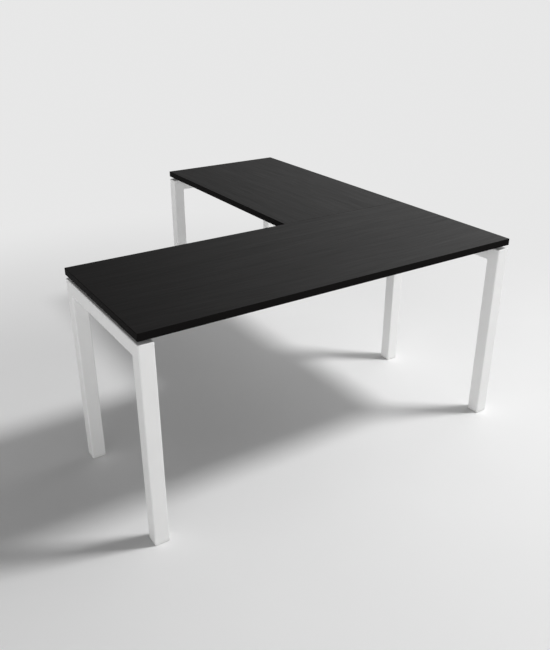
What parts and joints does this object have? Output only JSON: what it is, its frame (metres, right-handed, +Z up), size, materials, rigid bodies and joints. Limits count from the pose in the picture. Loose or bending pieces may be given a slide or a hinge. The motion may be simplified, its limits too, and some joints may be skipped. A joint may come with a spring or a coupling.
{
  "type": "corner desk",
  "caption": "L-shaped corner desk with two dark wood-grain tops on white square-tube portal frames, with spacers, beams under the tops and levelling glides.",
  "frame": {"origin": "on the floor, at the centre of the desk's outline (the box around both tops)", "axes": "+X along the main top to the user's right, +Y away from the user at the main top, towards the return, +Z up"},
  "size_m": [1.48, 1.64, 0.74],
  "materials": {
    "decor_board": "black wood-grain decor paper on chipboard, satin",
    "edge_band": "black ABS edge band, satin",
    "white_powder_coat": "white powder coat, fine texture, low gloss",
    "zinc_steel": "bright zinc plate",
    "spacer_plastic": "moulded black nylon",
    "insert_plastic": "moulded white polyethylene",
    "pad_plastic": "moulded dark grey nylon"
  },
  "bodies": {
    "desk": {"main_board": "decor_board", "main_band_front": "edge_band", "main_band_rear": "edge_band", "main_band_left": "edge_band", "main_band_right": "edge_band", "return_board": "decor_board", "return_band_front": "edge_band", "return_band_rear": "edge_band", "return_band_left": "edge_band", "return_band_right": "edge_band", "left_front_leg": "white_powder_coat", "left_rear_leg": "white_powder_coat", "left_rail": "white_powder_coat", "right_front_leg": "white_powder_coat", "right_rear_leg": "white_powder_coat", "right_rail": "white_powder_coat", "end_left_leg": "white_powder_coat", "end_right_leg": "white_powder_coat", "end_rail": "white_powder_coat", "main_front_beam": "white_powder_coat", "main_rear_beam": "white_powder_coat", "return_left_beam": "white_powder_coat", "return_right_beam": "white_powder_coat", "main_front_plate_left": "white_powder_coat", "main_front_plate_right": "white_powder_coat", "main_rear_plate_left": "white_powder_coat", "main_rear_plate_right": "white_powder_coat", "return_left_plate_near": "white_powder_coat", "return_left_plate_far": "white_powder_coat", "return_right_plate_near": "white_powder_coat", "return_right_plate_far": "white_powder_coat", "plate_bolts": "zinc_steel", "rivet_nuts": "zinc_steel", "rail_spacers": "spacer_plastic", "beam_spacers": "spacer_plastic", "top_screws": "zinc_steel", "seam_plate_left": "zinc_steel", "seam_plate_middle": "zinc_steel", "seam_plate_right": "zinc_steel", "seam_screws": "zinc_steel", "left_front_insert": "insert_plastic", "left_rear_insert": "insert_plastic", "right_front_insert": "insert_plastic", "right_rear_insert": "insert_plastic", "end_left_insert": "insert_plastic", "end_right_insert": "insert_plastic", "foot_nuts": "zinc_steel"},
    "left_front_foot": {"left_front_pad": "pad_plastic", "left_front_stud": "zinc_steel"},
    "left_rear_foot": {"left_rear_pad": "pad_plastic", "left_rear_stud": "zinc_steel"},
    "right_front_foot": {"right_front_pad": "pad_plastic", "right_front_stud": "zinc_steel"},
    "right_rear_foot": {"right_rear_pad": "pad_plastic", "right_rear_stud": "zinc_steel"},
    "end_left_foot": {"end_left_pad": "pad_plastic", "end_left_stud": "zinc_steel"},
    "end_right_foot": {"end_right_pad": "pad_plastic", "end_right_stud": "zinc_steel"}
  },
  "joints": [
    {"name": "left_front_foot_height", "type": "slide", "parent": "desk", "child": "left_front_foot", "axis": [0, 0, -1], "range_m": [0, 0.01]},
    {"name": "left_rear_foot_height", "type": "slide", "parent": "desk", "child": "left_rear_foot", "axis": [0, 0, -1], "range_m": [0, 0.01]},
    {"name": "right_front_foot_height", "type": "slide", "parent": "desk", "child": "right_front_foot", "axis": [0, 0, -1], "range_m": [0, 0.01]},
    {"name": "right_rear_foot_height", "type": "slide", "parent": "desk", "child": "right_rear_foot", "axis": [0, 0, -1], "range_m": [0, 0.01]},
    {"name": "end_left_foot_height", "type": "slide", "parent": "desk", "child": "end_left_foot", "axis": [0, 0, -1], "range_m": [0, 0.01]},
    {"name": "end_right_foot_height", "type": "slide", "parent": "desk", "child": "end_right_foot", "axis": [0, 0, -1], "range_m": [0, 0.01]}
  ]
}
